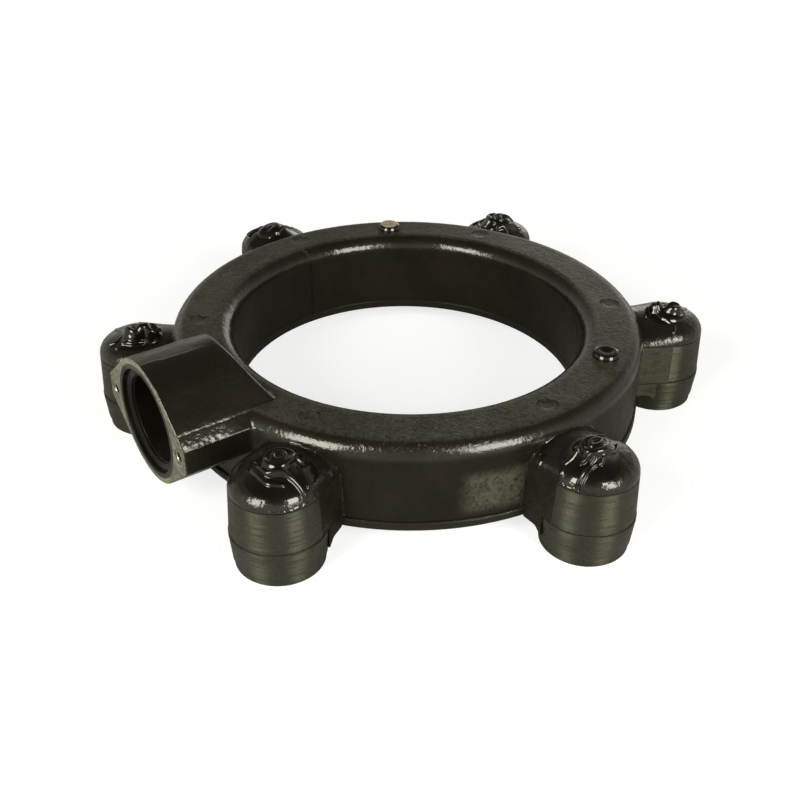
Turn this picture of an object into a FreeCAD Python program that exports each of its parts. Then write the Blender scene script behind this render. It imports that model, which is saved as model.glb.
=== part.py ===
import FreeCAD, Part
import math
import os
from FreeCAD import Vector

# Ring-shaped pipe manifold, in millimetres. The origin lies on the ring's axis at the lower face of the
# base ring, +Z is up, and the inlet points along -Y. The collars reach below the origin and carry the part.

# Ring channel
ring_outer_radius = 230.0
ring_inner_radius = 170.8
ring_height = 77.2          # upper body, from the joint to the top
ring_edge_round = 15.0
ring_wall = 6.5

# Base ring that closes the channel
base_thickness = 8.5
base_lip = 2.0              # stands proud of the ring's outer wall
base_chamfer = 1.2
base_clearance = 0.3
base_tongue_height = 4.0
joint_groove = 0.8

# Outlets and their hoods
outlet_count = 6
outlet_reach = 32.0         # from the ring's outer wall to an outlet's axis
hood_radius = 41.6          # at the skirt's rim
hood_draft = 2.0            # the skirt leans in by this much up to the crease
hood_wall = 6.5
hood_spring_drop = 30.0     # from the ring's top down to the crease of the dome
hood_cap_height = 18.5
hood_knuckle = 14.0         # round between the dome and its skirt
roof_drop = 2.0             # flat roof of the well below the dome's inside
neck_spring_drop = 38.0     # the same three where the neck meets the ring
neck_cap_height = 26.0
neck_knuckle = 18.0
skirt_lift = 5.8            # skirt's rim above the joint
web_setback = 11.4          # from an outlet's axis back to the ends of its webs
web_drop = 6.5              # webs below the base ring
web_sweep = 3.0
passage_radius = 25.0
passage_clearance = 8.0     # passage floor above the spigot
skirt_groove = 0.8
crease_groove = 0.6         # between the dome and its skirt

# Collars
collar_proud = 0.5          # beyond the hood's skirt
collar_drop = 22.0          # below the base ring
collar_straight = 5.0
collar_band_height = 9.5
collar_band_step = 1.4
collar_chamfer = 1.5
collar_wall = 9.9           # round the pipe socket
socket_radius = 30.3
socket_depth = 32.0
spigot_height = 17.5
spigot_wall = 4.6           # behind the seal groove
spigot_clearance = 0.3
seal_section = 3.2
seal_clearance = 0.15
seal_lift = 8.0
seal_groove_width = 4.2

# Inlet block, a two-bolt oval
inlet_angle = 270.0
inlet_length = 50.0         # from the ring's outer wall to the face
inlet_axis_drop = 21.7      # below the ring's top
inlet_radius = 58.0
ear_half_height = 11.5
ear_hole_spacing = 128.0
ear_end = 12.0              # beyond the hole's axis
inlet_bore_radius = 40.0
inlet_throat_radius = 37.0  # where the bore runs on into the channel
counterbore_radius = 48.0
counterbore_depth = 7.0
mouth_round = 1.5
rear_share = 0.28           # of the ring's flat top, from its inner edge out to the foot of the rear face
rear_slope = 3.0            # rise over run of the rear face
inlet_round = 6.0
inlet_round_share = 0.3     # of the ring's flat top, the most that the round may take

# Seal in the inlet's mouth
inlet_seal_depth = 3.3      # from the face to the seal
inlet_seal_rim = 3.0
inlet_seal_lip = 1.2        # left clear round the bore
inlet_seal_bevel = 2.3
inlet_seal_clearance = 0.1

# Threaded inserts in the ears
insert_radius = 6.25
insert_bore_radius = 4.25
insert_length = 18.0
insert_recess = 0.4
insert_clearance = 0.05
insert_mouth = 0.8

# Flush plugs in the ring's top, one at each outlet
core_plug_offset = 3.0      # outward from the middle of the ring's top
core_plug_radius = 9.0
core_plug_thickness = 4.4
core_plug_recess = 0.4
core_plug_shoulder = 1.6
core_plug_dish = 0.5
core_plug_clearance = 0.1

# Raised bosses and their plugs
boss_steps = (4, 2)         # outlet spacings from the inlet: the brass plug's boss, then the hollow one's
boss_offset = -0.4          # outward from the middle of the ring's top
boss_radius = 12.3
boss_height = 5.2
boss_edge_round = 3.2
boss_shank_radius = 10.0
boss_bore_radius = 7.5
boss_clearance = 0.1
plug_shank_length = 12.0
plug_head_rim = 0.8
plug_head_rise = 1.6
plug_hollow_radius = 7.0
plug_hollow_drop = 2.4

# Knots of hardened coating on the crowns
knot_radius = 16.5
knot_height = 9.0
knot_shoulder = 9.0         # radius of the mound's flat top
knot_edge = 1.5             # rim of the mound below the crown's top
loop_sides = 8
loop_radius = 9.0
loop_section = 3.6
loop_offset = 3.5
loop_lift = 7.6             # of the loop's middle above the crown
loop_tilt = 10.0
fold_radius = 5.5
fold_section = 2.8
fold_offset = 7.5
fold_lift = 6.0
fold_tilt = 22.0
knot_first_turn = 200.0
knot_turn_step = 65.0       # each crown's knot is turned on from the last

# Heights and radii that follow from these
joint_z = base_thickness
ring_top_z = joint_z + ring_height
skirt_z = joint_z + skirt_lift
hood_spring_z = ring_top_z - hood_spring_drop
hood_crown_z = hood_spring_z + hood_cap_height
neck_spring_z = ring_top_z - neck_spring_drop
neck_crown_z = neck_spring_z + neck_cap_height
neck_root_radius = ring_outer_radius - ring_wall
outlet_pitch_radius = ring_outer_radius + outlet_reach
web_end_radius = outlet_pitch_radius - web_setback
crease_radius = hood_radius - hood_draft
well_radius = hood_radius - hood_wall
collar_radius = hood_radius + collar_proud
collar_bottom_z = -collar_drop
spigot_radius = well_radius - spigot_clearance
spigot_top_z = skirt_z + spigot_height
seal_groove_radius = well_radius - seal_section - 2 * seal_clearance
seal_low_z = skirt_z + seal_lift
throat_radius = seal_groove_radius - spigot_wall
channel_inner_radius = ring_inner_radius + ring_wall
channel_outer_radius = min(ring_outer_radius, outlet_pitch_radius - collar_radius - spigot_clearance) - ring_wall
channel_top_z = ring_top_z - ring_wall
top_middle_radius = (ring_inner_radius + ring_outer_radius) / 2
inlet_face_radius = ring_outer_radius + inlet_length
inlet_axis_z = ring_top_z - inlet_axis_drop
ear_half_width = ear_hole_spacing / 2 + ear_end
flat_top_width = ring_outer_radius - ring_inner_radius - 2 * ring_edge_round
rear_foot_radius = ring_inner_radius + ring_edge_round + rear_share * flat_top_width

up = Vector(0, 0, 1)
origin = Vector(0, 0, 0)
tiny = 0.02
past = 5.0                  # how far a cut runs on beyond the face that it opens


def at(radius, height):
    return Vector(radius, 0, height)


def arc_to(center_radius, center_height, radius, end_angle, start_angle):
    # middle and end point of an arc about a centre in the (radius, height) plane
    points = []
    for angle in ((start_angle + end_angle) / 2.0, end_angle):
        turn = math.radians(angle)
        points.append(at(center_radius + radius * math.cos(turn), center_height + radius * math.sin(turn)))
    return points


def outline_face(start, *moves):
    # closed outline in the XZ plane: each move is an end point, or the middle and end point of an arc
    here = start
    edges = []
    for move in moves:
        if isinstance(move, Vector):
            edges.append(Part.LineSegment(here, move).toShape())
            here = move
        else:
            edges.append(Part.Arc(here, move[0], move[1]).toShape())
            here = move[1]
    if here.distanceToPoint(start) > tiny:
        edges.append(Part.LineSegment(here, start).toShape())
    return Part.Face(Part.Wire(edges))


def turned(face, radius=0.0):
    # a turned solid, its axis moved out to a radius along +X
    solid = face.revolve(origin, up, 360)
    solid.translate(Vector(radius, 0, 0))
    return solid


def half_turned(face, radius):
    # the outboard half of the same
    face.rotate(origin, up, -90)
    solid = face.revolve(origin, up, 180)
    solid.translate(Vector(radius, 0, 0))
    return solid


def around(shape, angle):
    copy = shape.copy()
    copy.rotate(origin, up, angle)
    return copy


def outlet_angles():
    # the inlet lies midway between two outlets
    step = 360.0 / outlet_count
    return [inlet_angle + step * (index + 0.5) for index in range(outlet_count)]


def at_outlets(shape):
    return [around(shape, angle) for angle in outlet_angles()]


def boss_angles():
    return [inlet_angle + 360.0 / outlet_count * step for step in boss_steps]


def disc(radius, low, high, center=origin):
    return Part.makeCylinder(radius, high - low, center + up * low)


def edge_points(edge):
    span = edge.LastParameter - edge.FirstParameter
    return [edge.valueAt(edge.FirstParameter + span * share) for share in (0.05, 0.3, 0.5, 0.7, 0.95)]


def distance_out(point):
    return math.hypot(point.x, point.y)


def rounded(shape, radius, chosen):
    return shape.makeFillet(radius, [edge for edge in shape.Edges if chosen(edge)])


def ring_outside():
    # rounded channel section, turned about the axis
    shoulder = ring_top_z - ring_edge_round
    inner_center = ring_inner_radius + ring_edge_round
    outer_center = ring_outer_radius - ring_edge_round
    return turned(outline_face(
        at(ring_inner_radius + joint_groove, joint_z),
        at(ring_inner_radius, joint_z + joint_groove),
        at(ring_inner_radius, shoulder),
        arc_to(inner_center, shoulder, ring_edge_round, 90, 180),
        at(outer_center, ring_top_z),
        arc_to(outer_center, shoulder, ring_edge_round, 0, 90),
        at(ring_outer_radius, joint_z)))


def on_ring(point):
    # whether a point lies on the ring's outer wall, its outer round or its top
    out = distance_out(point)
    shoulder = ring_top_z - ring_edge_round
    center = ring_outer_radius - ring_edge_round
    if point.z < joint_z + joint_groove or out < ring_inner_radius + ring_edge_round - tiny:
        return False
    if point.z <= shoulder + tiny:
        return abs(out - ring_outer_radius) < tiny
    if out >= center - tiny:
        return abs(math.hypot(out - center, point.z - shoulder) - ring_edge_round) < tiny
    return abs(point.z - ring_top_z) < tiny


def ring_channel():
    # the water channel inside the ring, open at the joint
    corner = ring_edge_round - ring_wall
    return turned(outline_face(
        at(channel_inner_radius, joint_z - past),
        at(channel_inner_radius, channel_top_z - corner),
        at(channel_inner_radius + corner, channel_top_z),
        at(channel_outer_radius - corner, channel_top_z),
        at(channel_outer_radius, channel_top_z - corner),
        at(channel_outer_radius, joint_z - past)))


def crown_curve(half, spring, rise, knuckle):
    # a flat crown arc that runs into a tight knuckle arc above each side
    reach = half - knuckle
    crown = (knuckle ** 2 - reach ** 2 - rise ** 2) / (2 * (knuckle - rise))
    center = spring + rise - crown
    lean = math.atan2(reach, spring - center)
    turn = (math.pi / 2 - lean) / 2
    knuckle_middle = at(reach + knuckle * math.cos(turn), spring + knuckle * math.sin(turn))
    tangent = at(crown * math.sin(lean), center + crown * math.cos(lean))
    crown_middle = at(crown * math.sin(lean / 2), center + crown * math.cos(lean / 2))
    return knuckle_middle, tangent, crown_middle, at(0, spring + rise)


def dome_face(half, low, spring, rise, knuckle):
    # half outline of a dome on its drafted skirt
    knuckle_middle, tangent, crown_middle, top = crown_curve(half - hood_draft, spring, rise, knuckle)
    return outline_face(at(0, low), at(half, low), at(half - hood_draft, spring), [knuckle_middle, tangent],
                        [crown_middle, top])


def arch_wire(x, half, low, spring, rise, knuckle):
    # full outline of a neck: the same crown over drafted sides, square to +X
    knuckle_middle, tangent, _, top = crown_curve(half - hood_draft, spring, rise, knuckle)

    def place(point, side=1):
        return Vector(x, side * point.x, point.z)
    low_corner = at(half, low)
    side_top = at(half - hood_draft, spring)
    return Part.Wire([
        Part.LineSegment(place(low_corner, -1), place(low_corner)).toShape(),
        Part.LineSegment(place(low_corner), place(side_top)).toShape(),
        Part.Arc(place(side_top), place(knuckle_middle), place(tangent)).toShape(),
        Part.Arc(place(tangent), place(top), place(tangent, -1)).toShape(),
        Part.Arc(place(tangent, -1), place(knuckle_middle, -1), place(side_top, -1)).toShape(),
        Part.LineSegment(place(side_top, -1), place(low_corner, -1)).toShape()])


def web_block():
    # the webs under the neck, later cut round the collar; their lower edge sweeps down towards it
    sweep_center = web_end_radius - web_drop - web_sweep
    side = outline_face(
        at(neck_root_radius, skirt_z),
        at(neck_root_radius, 0),
        at(sweep_center, 0),
        arc_to(sweep_center, -web_drop, web_drop, 40, 90),
        at(web_end_radius, -web_drop),
        at(web_end_radius, skirt_z))
    side.translate(Vector(0, -hood_radius, 0))
    return side.extrude(Vector(0, 2 * hood_radius, 0))


def hood_body():
    # one hood along +X: a domed skirt, and a neck that lofts down to its root in the ring
    neck = Part.makeLoft([
        arch_wire(neck_root_radius, hood_radius, skirt_z, neck_spring_z, neck_cap_height, neck_knuckle),
        arch_wire(outlet_pitch_radius, hood_radius, skirt_z, hood_spring_z, hood_cap_height, hood_knuckle),
    ], True, True)
    dome = half_turned(dome_face(hood_radius, skirt_z, hood_spring_z, hood_cap_height, hood_knuckle),
                       outlet_pitch_radius)
    return neck.fuse(dome)


def hood_outside():
    return hood_body().fuse(web_block()).removeSplitter()


def hood_cavity():
    # well for the collar's spigot, bevelled under the dome, and the arched passage from the channel
    roof = hood_crown_z - hood_wall - roof_drop
    well = turned(outline_face(
        at(0, skirt_z - past),
        at(well_radius, skirt_z - past),
        at(well_radius, hood_spring_z),
        at(well_radius - hood_knuckle, roof),
        at(0, roof)), outlet_pitch_radius)
    floor = spigot_top_z + passage_clearance
    center = neck_crown_z - hood_wall - passage_radius
    start = channel_outer_radius - ring_wall
    tunnel = Part.makeCylinder(passage_radius, outlet_pitch_radius - start, Vector(start, 0, center),
                               Vector(1, 0, 0))
    below = Part.makeBox(outlet_pitch_radius, 2 * passage_radius, passage_radius,
                         Vector(start, -passage_radius, floor - passage_radius))
    return well.fuse(tunnel.cut(below))


def skirt_chamfer():
    # half of the fine groove between skirt and collar, on the outer side
    edge = hood_radius + past
    return half_turned(outline_face(
        at(hood_radius - skirt_groove, skirt_z - past),
        at(edge, skirt_z - past),
        at(edge, skirt_z + skirt_groove + past),
        at(hood_radius - skirt_groove, skirt_z)), outlet_pitch_radius)


def dome_crease():
    # fine groove where the dome meets its skirt, on the outer side
    edge = hood_radius + past
    spread = crease_groove + past
    return half_turned(outline_face(
        at(crease_radius - crease_groove, hood_spring_z),
        at(edge, hood_spring_z - spread),
        at(edge, hood_spring_z + spread)), outlet_pitch_radius)


def collar_outside(gap):
    # outline of a collar below the skirt, from the top down, with a gap all round
    lower = socket_radius + collar_wall + gap
    band_top = collar_bottom_z + collar_band_height
    return [
        at(collar_radius + gap, skirt_z),
        at(collar_radius + gap, skirt_z - collar_straight),
        at(lower, band_top),
        at(lower - collar_band_step, band_top - collar_band_step / 2),
        at(lower - collar_band_step, collar_bottom_z + collar_chamfer)]


def collar_space():
    # what the ring, its webs and the base ring leave free for one collar
    outline = collar_outside(spigot_clearance)
    low = collar_bottom_z - past
    return turned(outline_face(at(0, skirt_z), *outline, at(outline[-1].x, low), at(0, low)),
                  outlet_pitch_radius)


def outlet_collar():
    # turned collar: spigot with a seal groove above, tapering body, lower band and pipe socket
    outer = collar_outside(0.0)
    socket_top = collar_bottom_z + socket_depth
    groove_top = seal_low_z + seal_groove_width
    return turned(outline_face(
        at(spigot_radius, skirt_z),
        at(collar_radius - skirt_groove, skirt_z),
        at(collar_radius, skirt_z - skirt_groove),
        outer[1], outer[2], outer[3], outer[4],
        at(outer[4].x - collar_chamfer, collar_bottom_z),
        at(socket_radius + collar_chamfer, collar_bottom_z),
        at(socket_radius, collar_bottom_z + collar_chamfer),
        at(socket_radius, socket_top),
        at(throat_radius, socket_top),
        at(throat_radius, spigot_top_z),
        at(spigot_radius, spigot_top_z),
        at(spigot_radius, groove_top),
        at(seal_groove_radius, groove_top),
        at(seal_groove_radius, seal_low_z),
        at(spigot_radius, seal_low_z)), outlet_pitch_radius)


def outlet_seal():
    # seal of squared section, standing in its groove
    inner = seal_groove_radius + seal_clearance
    outer = well_radius - seal_clearance
    low = seal_low_z + seal_clearance
    high = seal_low_z + seal_groove_width - seal_clearance
    return turned(outline_face(at(inner, low), at(outer, low), at(outer, high), at(inner, high)),
                  outlet_pitch_radius)


def oval_face():
    # face of the two-bolt inlet: round crown and foot, tangent flanks, flat ear ends
    reach = math.hypot(ear_half_width, ear_half_height)
    turn = math.atan2(ear_half_height, ear_half_width) + math.acos(inlet_radius / reach)
    tangent_x = inlet_radius * math.cos(turn)
    tangent_z = inlet_radius * math.sin(turn)

    def place(x, z):
        return Vector(x, -inlet_face_radius, inlet_axis_z + z)
    edges = []
    for side in (1, -1):
        ear_low = place(side * ear_half_width, -side * ear_half_height)
        ear_high = place(side * ear_half_width, side * ear_half_height)
        near = place(side * tangent_x, side * tangent_z)
        far = place(-side * tangent_x, side * tangent_z)
        ear_far = place(-side * ear_half_width, side * ear_half_height)
        edges.append(Part.LineSegment(ear_low, ear_high).toShape())
        edges.append(Part.LineSegment(ear_high, near).toShape())
        edges.append(Part.Arc(near, place(0, side * inlet_radius), far).toShape())
        edges.append(Part.LineSegment(far, ear_far).toShape())
    return Part.Face(Part.Wire(edges))


def inlet_block():
    # the oval runs back over the ring and ends in a steep round face
    inner = ring_inner_radius + ring_edge_round / 2
    high = 2 * inlet_radius
    block = oval_face().extrude(Vector(0, inlet_face_radius - inner / 2, 0))
    behind = turned(outline_face(
        at(0, -high),
        at(inner, -high),
        at(inner, ring_top_z - ring_edge_round / 3),
        at(rear_foot_radius, ring_top_z),
        at(rear_foot_radius + high / rear_slope, ring_top_z + high),
        at(0, ring_top_z + high)))
    return block.cut(behind)


def on_rear_face(point):
    cone = rear_foot_radius + (point.z - ring_top_z) / rear_slope
    return point.z > ring_top_z - tiny and abs(distance_out(point) - cone) < tiny


def is_inlet_edge(edge):
    # the block's root on the ring's top and outer round, and the crest of its rear face
    points = edge_points(edge)
    shoulder = ring_top_z - ring_edge_round
    if any(abs(point.x) > ear_half_width + tiny or point.y > 0 for point in points):
        return False
    if all(on_ring(point) for point in points):
        return points[2].z > shoulder + tiny
    return all(on_rear_face(point) for point in points)


def is_mouth_edge(edge):
    return all(abs(point.y + inlet_face_radius) < tiny for point in edge_points(edge))


def inlet_bore():
    # bore and counterbore; a narrower throat runs on into the channel below the ring's top wall
    def along(radius, depth):
        return Part.makeCylinder(radius, depth + past, Vector(0, -inlet_face_radius - past, inlet_axis_z),
                                 Vector(0, 1, 0))
    overlap = max(0.0, inlet_axis_z + inlet_bore_radius - ring_top_z)
    end = rear_foot_radius + overlap / rear_slope + ring_wall
    middle = (channel_inner_radius + channel_outer_radius) / 2
    throat = along(inlet_throat_radius, inlet_face_radius - middle)
    return along(counterbore_radius, counterbore_depth).fuse([
        along(inlet_bore_radius, inlet_face_radius - end),
        throat.common(disc(inlet_face_radius + past, 0, channel_top_z))])


def ear_places():
    return [Vector(side * ear_hole_spacing / 2, -inlet_face_radius, inlet_axis_z) for side in (-1, 1)]


def ear_holes():
    inward = Vector(0, 1, 0)
    depth = insert_recess + insert_length
    return [Part.makeCylinder(insert_radius + insert_clearance, depth + past, place - inward * past, inward)
            for place in ear_places()]


def core_plug_radius_out():
    return top_middle_radius + core_plug_offset


def core_plug_hole():
    center = Vector(core_plug_radius_out(), 0, 0)
    seat = ring_top_z - core_plug_recess - core_plug_thickness
    hole = disc(core_plug_radius + core_plug_clearance, seat, ring_top_z + past, center)
    return hole.fuse(disc(core_plug_radius - core_plug_shoulder, channel_top_z - past, seat + tiny, center))


def boss_hole():
    center = Vector(top_middle_radius + boss_offset, 0, 0)
    return disc(boss_shank_radius + boss_clearance, channel_top_z - past, ring_top_z + past, center)


def manifold_shell():
    # one casting: ring, hoods and inlet block outside, channel, wells and bores inside
    ring = ring_outside()
    with_inlet = ring.fuse(inlet_block()).removeSplitter()
    with_inlet = rounded(with_inlet, min(inlet_round, inlet_round_share * flat_top_width), is_inlet_edge)
    with_inlet = rounded(with_inlet, mouth_round, is_mouth_edge)
    base_room = disc(ring_outer_radius + base_lip + base_clearance, collar_bottom_z, joint_z)
    cuts = [base_room, ring_channel(), inlet_bore()] + ear_holes()
    for piece in (hood_cavity(), collar_space(), skirt_chamfer(), dome_crease(), core_plug_hole()):
        cuts += at_outlets(piece)
    cuts += [around(boss_hole(), angle) for angle in boss_angles()]
    outside = with_inlet.fuse(at_outlets(hood_outside())).removeSplitter()
    return outside.cut(cuts).removeSplitter()


def base_ring():
    # plate with a tongue that stands in the channel, notched round the collars
    outer = ring_outer_radius + base_lip
    tongue_in = channel_inner_radius + base_clearance
    tongue_out = channel_outer_radius - base_clearance
    tongue_top = joint_z + base_tongue_height
    plate = turned(outline_face(
        at(ring_inner_radius, 0),
        at(outer - base_chamfer, 0),
        at(outer, base_chamfer),
        at(outer, joint_z - base_chamfer),
        at(outer - base_chamfer, joint_z),
        at(tongue_out, joint_z),
        at(tongue_out, tongue_top),
        at(tongue_in, tongue_top),
        at(tongue_in, joint_z),
        at(ring_inner_radius + joint_groove, joint_z),
        at(ring_inner_radius, joint_z - joint_groove)))
    return plate.cut(at_outlets(collar_space()))


def inlet_seal():
    # flat ring with a raised outer rim and a bevelled lip, pressed into the counterbore
    rim = counterbore_radius - inlet_seal_clearance
    crest = counterbore_radius - inlet_seal_rim
    lip = inlet_bore_radius + inlet_seal_lip
    lip_depth = inlet_seal_depth + inlet_seal_bevel
    seal = turned(outline_face(
        at(rim, -counterbore_depth),
        at(rim, -inlet_seal_depth),
        at(crest, -inlet_seal_depth),
        at(lip, -lip_depth),
        at(lip, -counterbore_depth)))
    seal.rotate(origin, Vector(1, 0, 0), 90)
    seal.translate(Vector(0, -inlet_face_radius, inlet_axis_z))
    return seal


def inlet_insert(place):
    # threaded bush with a bevelled mouth
    depth = insert_recess + insert_length
    bush = turned(outline_face(
        at(insert_bore_radius, -depth),
        at(insert_radius, -depth),
        at(insert_radius, -insert_recess),
        at(insert_bore_radius + insert_mouth, -insert_recess),
        at(insert_bore_radius, -insert_recess - insert_mouth)))
    bush.rotate(origin, Vector(1, 0, 0), 90)
    bush.translate(place)
    return bush


def core_plug():
    # pressed plug with a shallow dished top
    low = ring_top_z - core_plug_recess - core_plug_thickness
    high = ring_top_z - core_plug_recess
    return turned(outline_face(
        at(0, low),
        at(core_plug_radius, low),
        at(core_plug_radius, high),
        at(core_plug_radius - core_plug_shoulder, high),
        at(core_plug_radius / 2, high - core_plug_dish),
        at(0, high - core_plug_dish)), core_plug_radius_out())


def test_boss():
    # round boss that stands on the ring's top, with its shank through the wall
    top = ring_top_z + boss_height
    round_center = boss_radius - boss_edge_round
    shoulder = boss_edge_round * math.sqrt(0.5)
    return turned(outline_face(
        at(boss_bore_radius, channel_top_z),
        at(boss_shank_radius, channel_top_z),
        at(boss_shank_radius, ring_top_z),
        at(boss_radius, ring_top_z),
        at(boss_radius, top - boss_edge_round),
        at(round_center + shoulder, top - boss_edge_round + shoulder),
        at(round_center, top),
        at(boss_bore_radius, top)), top_middle_radius + boss_offset)


def shank_bottom():
    return ring_top_z + boss_height - plug_shank_length


def domed_plug():
    # plug with a shank in the boss and a low domed head on it
    top = ring_top_z + boss_height
    shank = boss_bore_radius - boss_clearance
    head = boss_radius - boss_edge_round
    rim = top + plug_head_rim
    crown = (head ** 2 + plug_head_rise ** 2) / (2 * plug_head_rise)
    lean = math.asin(head / crown) / 2
    crown_middle = at(crown * math.sin(lean), rim + plug_head_rise - crown + crown * math.cos(lean))
    return turned(outline_face(
        at(0, shank_bottom()),
        at(shank, shank_bottom()),
        at(shank, top),
        at(head, top),
        at(head, rim),
        [crown_middle, at(0, rim + plug_head_rise)]), top_middle_radius + boss_offset)


def hollow_plug():
    # plug flush with its boss, with a round hollow in its end
    top = ring_top_z + boss_height
    shank = boss_bore_radius - boss_clearance
    hollow = (plug_hollow_radius ** 2 + plug_hollow_drop ** 2) / (2 * plug_hollow_drop)
    lean = math.asin(plug_hollow_radius / hollow) / 2
    hollow_middle = at(hollow * math.sin(lean), top - plug_hollow_drop + hollow - hollow * math.cos(lean))
    return turned(outline_face(
        at(0, shank_bottom()),
        at(shank, shank_bottom()),
        at(shank, top),
        at(plug_hollow_radius, top),
        [hollow_middle, at(0, top - plug_hollow_drop)]), top_middle_radius + boss_offset)


def rope_loop(radius, section, offset, lift, tilt):
    # one rope-like loop of coating, off the crown's axis and leaning outward
    corners = []
    for index in range(loop_sides):
        turn = 2 * math.pi * (index + 0.5) / loop_sides
        corners.append(at(radius + section * math.cos(turn), section * math.sin(turn)))
    loop = turned(outline_face(*corners), offset)
    loop.rotate(origin, Vector(0, 1, 0), tilt)
    loop.translate(up * (hood_crown_z + lift))
    return loop


def crown_knot():
    # a low mound with two loops sunk in it, standing on the ring's axis
    edge_z = hood_crown_z - knot_edge
    mound = turned(outline_face(
        at(0, edge_z - knot_edge),
        at(knot_radius, edge_z - knot_edge),
        at(knot_radius, edge_z),
        at(knot_shoulder, hood_crown_z + knot_height),
        at(0, hood_crown_z + knot_height)))
    return mound.fuse([
        rope_loop(loop_radius, loop_section, loop_offset, loop_lift, -loop_tilt),
        rope_loop(fold_radius, fold_section, -fold_offset, fold_lift, fold_tilt)])


def crown_knots():
    # one knot on each crown, cut to sit on the dome and neck below it
    hood = hood_outside()
    knots = []
    for index, angle in enumerate(outlet_angles()):
        knot = around(crown_knot(), knot_first_turn + knot_turn_step * index)
        knot.translate(Vector(outlet_pitch_radius, 0, 0))
        knots.append(around(knot.cut(hood), angle))
    return knots


def save(name, shape):
    shape.exportStep("parts/" + name + ".step")


def main():
    os.makedirs("parts", exist_ok=True)
    save("manifold_shell", manifold_shell())
    save("base_ring", base_ring())
    for index, angle in enumerate(outlet_angles(), 1):
        save("outlet_collar_%d" % index, around(outlet_collar(), angle))
        save("core_plug_%d" % index, around(core_plug(), angle))
    save("outlet_seals", Part.makeCompound(at_outlets(outlet_seal())))
    save("crown_knots", Part.makeCompound(crown_knots()))
    save("inlet_seal", inlet_seal())
    for index, place in enumerate(ear_places(), 1):
        save("inlet_insert_%d" % index, inlet_insert(place))
    for index, angle in enumerate(boss_angles(), 1):
        save("test_boss_%d" % index, around(test_boss(), angle))
    save("test_plug_1", around(domed_plug(), boss_angles()[0]))
    save("test_plug_2", around(hollow_plug(), boss_angles()[1]))


main()
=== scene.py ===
import bpy
import math
import numpy as np
from mathutils import Matrix, Vector
from mathutils.bvhtree import BVHTree


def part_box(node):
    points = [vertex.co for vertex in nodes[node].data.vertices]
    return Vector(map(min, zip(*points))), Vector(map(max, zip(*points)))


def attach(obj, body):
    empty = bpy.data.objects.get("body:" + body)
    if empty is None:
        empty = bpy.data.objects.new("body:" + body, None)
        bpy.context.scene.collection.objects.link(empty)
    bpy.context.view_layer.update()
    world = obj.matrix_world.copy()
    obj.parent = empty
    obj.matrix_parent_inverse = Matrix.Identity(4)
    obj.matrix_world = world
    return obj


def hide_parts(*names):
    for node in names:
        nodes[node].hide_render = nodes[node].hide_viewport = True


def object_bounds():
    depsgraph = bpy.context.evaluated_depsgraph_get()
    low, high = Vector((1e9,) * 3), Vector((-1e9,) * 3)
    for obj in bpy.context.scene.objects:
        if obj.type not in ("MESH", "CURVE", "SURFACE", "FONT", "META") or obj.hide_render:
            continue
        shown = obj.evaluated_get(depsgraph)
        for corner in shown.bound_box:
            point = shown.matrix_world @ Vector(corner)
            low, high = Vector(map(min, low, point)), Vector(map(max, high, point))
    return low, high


# Black coated ring manifold on a white floor. Everything is in metres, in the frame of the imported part.

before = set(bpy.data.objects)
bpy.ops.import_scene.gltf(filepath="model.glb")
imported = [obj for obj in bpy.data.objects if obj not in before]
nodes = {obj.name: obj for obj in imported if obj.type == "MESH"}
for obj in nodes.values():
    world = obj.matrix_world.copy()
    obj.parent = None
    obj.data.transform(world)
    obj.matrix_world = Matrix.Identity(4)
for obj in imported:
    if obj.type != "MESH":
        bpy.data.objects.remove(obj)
cadLow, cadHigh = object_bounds()
scene = bpy.context.scene

outletCount = 6
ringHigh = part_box("base_ring")[1]
collarLow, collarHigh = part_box("outlet_collar_2")      # the collar that stands on the +X axis
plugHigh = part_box("core_plug_2")[1]
seatLow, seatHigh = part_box("inlet_seal")
mm = 0.001
ringRadius = ringHigh.x - 2 * mm                       # the base ring stands proud by this much
outletRadius = (collarLow.x + collarHigh.x) / 2        # from the ring's axis to an outlet's axis
hoodRadius = (collarHigh.x - collarLow.x) / 2 - 0.5 * mm   # at the skirt's rim
creaseRadius = hoodRadius - 2 * mm
ringTop = plugHigh.z + 0.4 * mm                        # the core plugs lie this far below it
springHeight = ringTop - 30 * mm                       # the crease between a dome and its skirt
inletAxis = (seatLow.z + seatHigh.z) / 2
inletFace = cadLow.y
print("frame loaded")


def outletAngle(outlet):
    # outlets are numbered from 1, like their collars
    return math.radians(300 + 360 / outletCount * (outlet - 1))


def outletPoint(outlet, outward, along, height):
    # a place beside an outlet's axis: outward from the ring, along it, and height above the base
    angle = outletAngle(outlet)
    out = Vector((math.cos(angle), math.sin(angle), 0))
    side = Vector((-math.sin(angle), math.cos(angle), 0))
    return out * (outletRadius + outward) + side * along + Vector((0, 0, height))


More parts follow.
